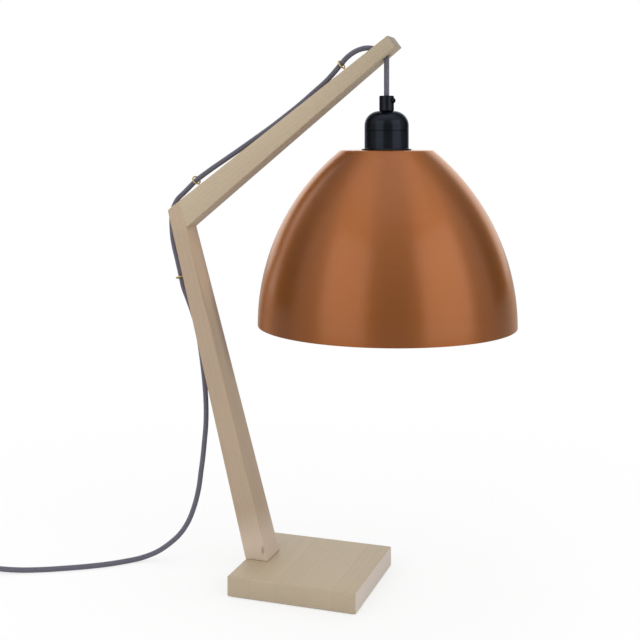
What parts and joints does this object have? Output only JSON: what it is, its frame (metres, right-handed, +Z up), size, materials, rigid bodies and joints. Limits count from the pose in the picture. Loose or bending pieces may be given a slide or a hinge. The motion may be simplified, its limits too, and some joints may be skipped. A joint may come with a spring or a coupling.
{
  "type": "table lamp",
  "caption": "Table lamp with a leaning wooden post, a rising arm and a copper-coloured metal dome that hangs from the arm's tip on its textile flex.",
  "frame": {"origin": "centre of the felt face that the lamp rests on", "axes": "+Z up, +X from the post towards the hanging dome, along the arm; +Y away from the viewer of the picture"},
  "size_m": [0.7899, 0.28, 0.6026],
  "materials": {
    "beech": "pale beech, oiled matt",
    "felt": "dark grey pressed felt",
    "screw_steel": "zinc-plated steel",
    "brass": "plain brass",
    "flex": "grey braided textile",
    "holder_black": "satin black",
    "fitting_black": "matt black",
    "plug_pin": "nickel-plated",
    "copper": "spun metal with a brushed copper-coloured finish",
    "porcelain": "white glazed porcelain",
    "bulb_metal": "rolled metal",
    "bulb_glass": "opal"
  },
  "bodies": {
    "stand": {"base": "beech", "post": "beech", "arm": "beech", "knee_dowel_front": "beech", "knee_dowel_back": "beech", "felt_underlay": "felt", "base_screw_front": "screw_steel", "base_screw_back": "screw_steel", "switch_screw_a": "screw_steel", "switch_screw_b": "screw_steel", "cable_eye_upper": "brass", "cable_eye_lower": "brass", "cable_eye_post": "brass", "switch_contact_a": "brass", "switch_contact_b": "brass", "arm_flex": "flex", "mains_lead": "flex", "switch_lead": "flex", "lead_coil": "flex", "plug_tail": "flex", "switch_base": "fitting_black", "switch_cover": "fitting_black", "plug_sleeve": "fitting_black", "plug_body": "fitting_black", "plug_pin_a": "plug_pin", "plug_pin_b": "plug_pin"},
    "bend": {"flex_bend": "flex"},
    "hanger": {"hanging_flex": "flex"},
    "pendant": {"cord_grip": "holder_black", "cord_grip_screw": "holder_black", "nipple": "screw_steel", "holder_cap": "holder_black", "holder_skirt": "holder_black", "shade_ring": "holder_black", "shade": "copper", "socket_insert": "porcelain", "screw_shell": "brass", "centre_contact": "brass", "terminal_screw_a": "brass", "terminal_screw_b": "brass", "flex_cores": "flex", "bulb_cap": "bulb_metal", "bulb_glass": "bulb_glass"},
    "rocker": {"switch_rocker": "fitting_black"}
  },
  "joints": [
    {"name": "swing_fore_aft", "type": "hinge", "parent": "stand", "child": "bend", "pos_m": [0.08546, 0, 0.57946], "axis": [0, 1, 0], "range_deg": [-30, 15]},
    {"name": "swing_sideways", "type": "hinge", "parent": "bend", "child": "hanger", "pos_m": [0.08546, 0, 0.57946], "axis": [1, 0, 0], "range_deg": [-30, 30]},
    {"name": "pendant_turn", "type": "hinge", "parent": "hanger", "child": "pendant", "pos_m": [0.08546, 0, 0.5355], "axis": [0, 0, 1], "range_deg": [-90, 90], "stiffness_Nm_per_rad": 0.01},
    {"name": "rocker_tip", "type": "hinge", "parent": "stand", "child": "rocker", "pos_m": [-0.408, -0.1, 0.0085], "axis": [0, 1, 0], "range_deg": [-8, 8]}
  ]
}
